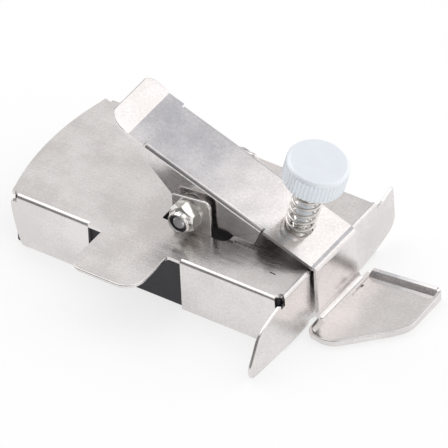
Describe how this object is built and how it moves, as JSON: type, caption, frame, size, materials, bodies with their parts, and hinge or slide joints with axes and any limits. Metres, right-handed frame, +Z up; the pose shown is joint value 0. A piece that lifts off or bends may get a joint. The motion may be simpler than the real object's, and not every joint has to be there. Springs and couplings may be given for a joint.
{
  "type": "magnetic edge guide with sprung presser tongue",
  "caption": "Magnetic sewing edge guide: folded steel base with a fence plate, and a sprung lever carrying a presser tongue set by a knurled thumb screw.",
  "frame": {"origin": "on the machine bed, at the middle of the base's underside", "axes": "+X along the base towards the presser tongue, +Y to the rear, +Z up from the bed"},
  "size_m": [0.1079, 0.0668, 0.0453],
  "materials": {
    "steel_sheet": "satin",
    "magnet": "matte",
    "plated": "polished",
    "zinc": "satin",
    "nylon": "matte",
    "spring_steel": "satin"
  },
  "bodies": {
    "base": {"base_shell": "steel_sheet", "magnet_main": "magnet", "magnet_front": "magnet", "magnet_rear": "magnet", "screw_anchor": "plated", "pivot_bolt": "plated", "lock_nut": "plated", "lock_ring": "nylon", "nut_washer": "plated", "spacer_washers": "plated"},
    "lever": {"clamp_lever": "steel_sheet"},
    "screw_carriage": {"spring_washer": "plated", "pressure_spring": "spring_steel"},
    "screw": {"thumb_screw": "zinc"}
  },
  "joints": [
    {"name": "lever_pivot", "type": "hinge", "parent": "base", "child": "lever", "pos_m": [0.0054, 0.0009, 0.0213], "axis": [0, -1, 0], "range_deg": [0, 7], "stiffness_Nm_per_rad": 0.4, "springref_deg": -11.46, "deforming": ["pressure_spring"]},
    {"name": "screw_travel", "type": "slide", "parent": "base", "child": "screw_carriage", "axis": [0.2756, 0, 0.9613], "range_m": [-0.0007, 0.0007], "deforming": ["pressure_spring"]},
    {"name": "screw_turn", "type": "hinge", "parent": "screw_carriage", "child": "screw", "pos_m": [0.03743, 0.0009, 0.04335], "axis": [0.2756, 0, 0.9613], "range_deg": [-360, 360]}
  ],
  "couplings": [
    {"joint": "screw_travel", "follows": "screw_turn", "m_per_rad": 0.0001114}
  ]
}
